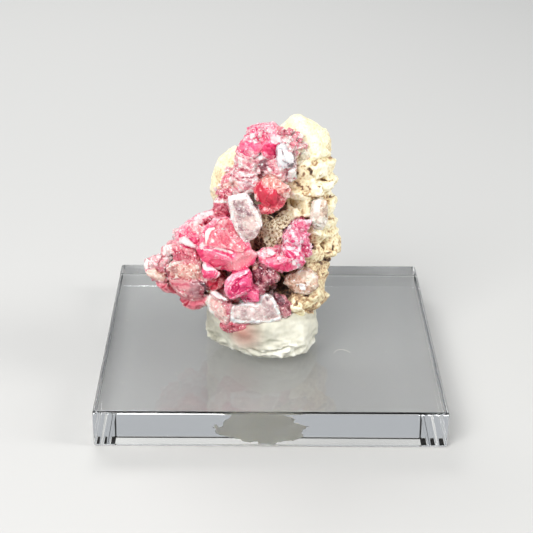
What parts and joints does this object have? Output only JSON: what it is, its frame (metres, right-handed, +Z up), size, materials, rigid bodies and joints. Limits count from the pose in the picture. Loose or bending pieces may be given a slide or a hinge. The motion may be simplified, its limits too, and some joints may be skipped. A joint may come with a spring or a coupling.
{
  "type": "cobaltoan calcite mineral specimen",
  "caption": "Pink and red calcite crystals on a cream dolomite rock, held upright by a pad of white mineral tack on a clear acrylic slab",
  "frame": {"origin": "centre of the underside of the acrylic slab", "axes": "+Z up, +X to the right seen from the display side, +Y away from the display side"},
  "size_m": [0.045, 0.045, 0.0363],
  "materials": {
    "clear_acrylic": "polished",
    "white_tack": "matte",
    "cream_dolomite": "matte",
    "hot_pink_calcite": "gloss",
    "magenta_calcite": "gloss",
    "red_calcite": "gloss",
    "pale_pink_calcite": "gloss",
    "mauve_calcite": "satin",
    "milky_calcite": "gloss",
    "clear_calcite": "polished",
    "peach_calcite": "gloss"
  },
  "bodies": {
    "root": {"acrylic_slab": "clear_acrylic", "mineral_tack": "white_tack", "host_rock": "cream_dolomite", "great_pink_crystal": "hot_pink_calcite", "cup_crystal": "magenta_calcite", "glassy_crystal": "hot_pink_calcite", "pale_tablet": "milky_calcite", "red_crystal": "red_calcite", "clear_crystal": "clear_calcite", "crest_crystals": "hot_pink_calcite", "crest_druse": "magenta_calcite", "upper_crystals": "pale_pink_calcite", "left_column_crystals": "pale_pink_calcite", "shoulder_crystals": "hot_pink_calcite", "thumb_crystals": "red_calcite", "tip_crystals": "pale_pink_calcite", "arm_crystals": "mauve_calcite", "arm_back_crystals": "pale_pink_calcite", "foot_bar_crystals": "milky_calcite", "foot_left_crystals": "pale_pink_calcite", "hollow_red_crystals": "red_calcite", "foot_red_crystal": "red_calcite", "foot_right_crystal": "mauve_calcite", "mauve_crystals": "mauve_calcite", "right_blade_crystals": "hot_pink_calcite", "right_druse_crystals": "magenta_calcite", "milky_prism": "milky_calcite", "peach_crystal": "peach_calcite", "rear_crystals": "pale_pink_calcite"}
  },
  "joints": []
}
